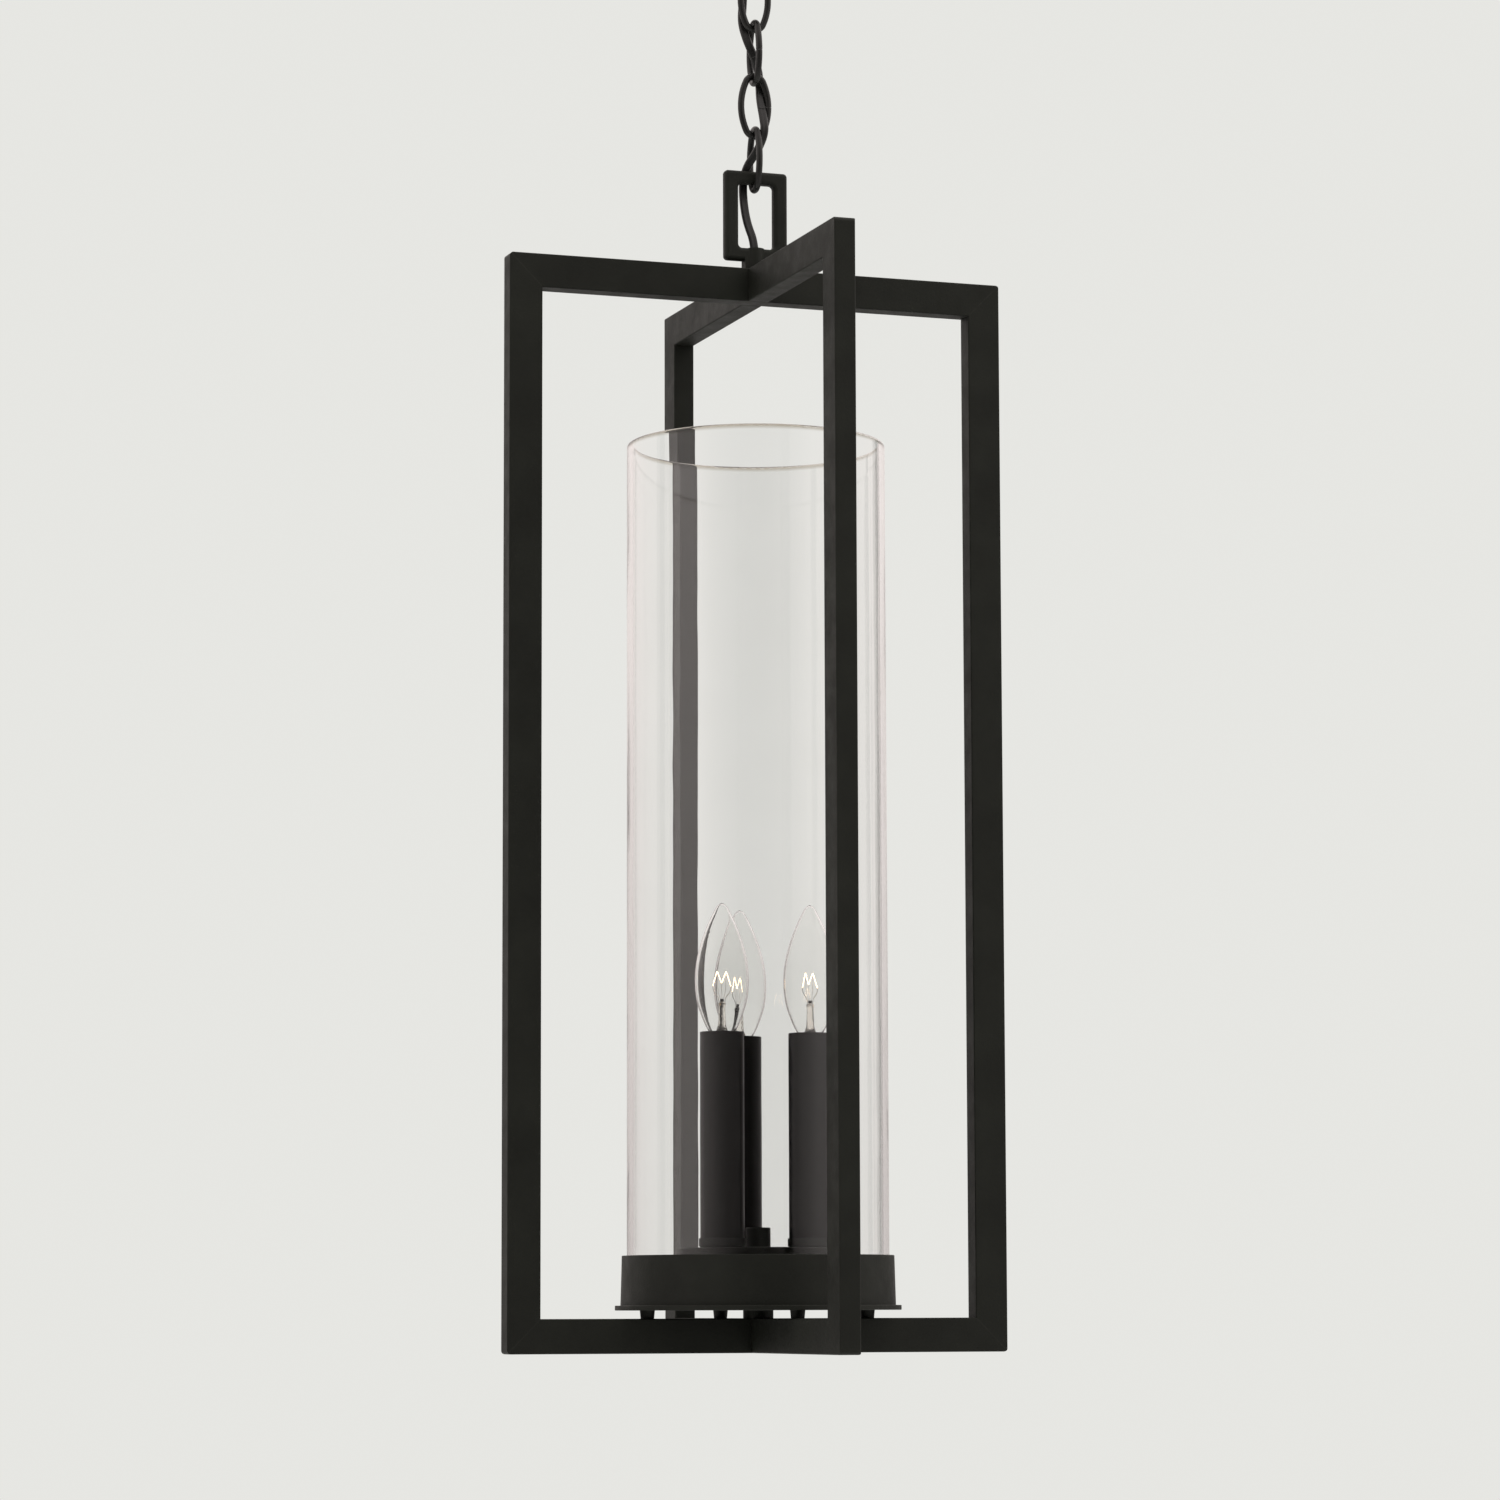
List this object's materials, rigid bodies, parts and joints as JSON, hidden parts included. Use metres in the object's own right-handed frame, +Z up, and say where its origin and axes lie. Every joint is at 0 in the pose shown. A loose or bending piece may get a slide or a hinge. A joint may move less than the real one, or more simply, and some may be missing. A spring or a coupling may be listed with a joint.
{
  "type": "hanging lantern",
  "caption": "Chain-hung lantern: two crossed rectangular tube loops around an open glass cylinder held in a cup, with candle lamps inside and a ceiling canopy.",
  "frame": {"origin": "centre of the mounting strap's top face, in the plane of the ceiling", "axes": "+Z up towards the ceiling; +X along the strap and along frame loop A; +Y along frame loop B"},
  "size_m": [0.314, 0.314, 0.925],
  "materials": {
    "powder_black": "fine-textured satin black powder coat",
    "chain_black": "satin black coated steel wire",
    "zinc_steel": "zinc-plated",
    "ground_green": "green plated screw",
    "wire_cap": "moulded wire cap",
    "lead_insulation": "insulated lead",
    "cord_black": "black twin cord",
    "black_nylon": "moulded bushing",
    "felt": "felt ring",
    "clear_glass": "clear drawn glass, flame-polished rim",
    "candle_sleeve": "black coated sleeve",
    "socket_phenolic": "moulded phenolic",
    "lamp_glass": "clear lamp glass",
    "lamp_cap": "E12 screw cap",
    "stem_glass": "pressed glass stem"
  },
  "bodies": {
    "ceiling_canopy": {"mounting_strap": "zinc_steel", "strap_locknut": "zinc_steel", "canopy": "powder_black", "canopy_nipple": "zinc_steel", "canopy_collar": "powder_black", "canopy_loop": "powder_black", "ground_screw": "ground_green", "canopy_connectors": "wire_cap", "canopy_leads": "lead_insulation", "supply_cord": "cord_black"},
    "chain_link_1": {"chain_link_1": "chain_black"},
    "chain_link_2": {"chain_link_2": "chain_black"},
    "chain_link_3": {"chain_link_3": "chain_black"},
    "chain_link_4": {"chain_link_4": "chain_black"},
    "chain_link_5": {"chain_link_5": "chain_black"},
    "lamp_1": {"candle_1_bulb_glass": "lamp_glass", "candle_1_bulb_cap": "lamp_cap", "candle_1_bulb_stem": "stem_glass"},
    "lamp_2": {"candle_2_bulb_glass": "lamp_glass", "candle_2_bulb_cap": "lamp_cap", "candle_2_bulb_stem": "stem_glass"},
    "lamp_3": {"candle_3_bulb_glass": "lamp_glass", "candle_3_bulb_cap": "lamp_cap", "candle_3_bulb_stem": "stem_glass"},
    "glass_shade": {"glass_cylinder": "clear_glass"},
    "lantern_frame": {"frame_wire": "cord_black", "top_loop": "powder_black", "cord_bushing": "black_nylon", "glass_holder_cup": "powder_black", "glass_gasket": "felt", "candle_pan": "powder_black", "holder_spacers": "powder_black", "spacer_screws": "zinc_steel", "hub_collar": "powder_black", "hub_nipple": "zinc_steel", "hub_locknut": "zinc_steel", "hub_cap": "powder_black", "pan_connector": "wire_cap", "socket_leads": "lead_insulation", "candle_posts": "zinc_steel", "post_nuts": "zinc_steel", "frame_a_left_leg": "powder_black", "frame_a_right_leg": "powder_black", "frame_a_top_bar": "powder_black", "frame_a_bottom_bar": "powder_black", "frame_b_front_leg": "powder_black", "frame_b_back_leg": "powder_black", "frame_b_top_front_bar": "powder_black", "frame_b_top_back_bar": "powder_black", "frame_b_bottom_front_bar": "powder_black", "frame_b_bottom_back_bar": "powder_black", "candle_1_base_cup": "powder_black", "candle_1_sleeve": "candle_sleeve", "candle_1_socket": "socket_phenolic", "candle_2_base_cup": "powder_black", "candle_2_sleeve": "candle_sleeve", "candle_2_socket": "socket_phenolic", "candle_3_base_cup": "powder_black", "candle_3_sleeve": "candle_sleeve", "candle_3_socket": "socket_phenolic"}
  },
  "joints": [
    {"name": "link_1_swing", "type": "hinge", "parent": "ceiling_canopy", "child": "chain_link_1", "pos_m": [0, 0, -0.056], "axis": [1, 0, 0], "range_deg": [-15, 15], "deforming": ["supply_cord"]},
    {"name": "link_2_swing", "type": "hinge", "parent": "chain_link_1", "child": "chain_link_2", "pos_m": [0, 0, -0.0888], "axis": [0, 1, 0], "range_deg": [-15, 15]},
    {"name": "link_3_swing", "type": "hinge", "parent": "chain_link_2", "child": "chain_link_3", "pos_m": [0, 0, -0.1221], "axis": [1, 0, 0], "range_deg": [-15, 15]},
    {"name": "link_4_swing", "type": "hinge", "parent": "chain_link_3", "child": "chain_link_4", "pos_m": [0, 0, -0.1554], "axis": [0, 1, 0], "range_deg": [-15, 15]},
    {"name": "link_5_swing", "type": "hinge", "parent": "chain_link_4", "child": "chain_link_5", "pos_m": [0, 0, -0.1887], "axis": [1, 0, 0], "range_deg": [-15, 15]},
    {"name": "lantern_swing", "type": "hinge", "parent": "chain_link_5", "child": "lantern_frame", "pos_m": [0, 0, -0.222], "axis": [0, 1, 0], "range_deg": [-15, 15]},
    {"name": "glass_lift", "type": "slide", "parent": "lantern_frame", "child": "glass_shade", "axis": [0, 0, 1], "range_m": [0, 0.085]},
    {"name": "lamp_1_unscrew", "type": "hinge", "parent": "lantern_frame", "child": "lamp_1", "pos_m": [0, 0.032, -0.725], "axis": [0, 0, 1], "range_deg": [0, 360]},
    {"name": "lamp_2_unscrew", "type": "hinge", "parent": "lantern_frame", "child": "lamp_2", "pos_m": [-0.02771, -0.016, -0.725], "axis": [0, 0, 1], "range_deg": [0, 360]},
    {"name": "lamp_3_unscrew", "type": "hinge", "parent": "lantern_frame", "child": "lamp_3", "pos_m": [0.02771, -0.016, -0.725], "axis": [0, 0, 1], "range_deg": [0, 360]}
  ]
}
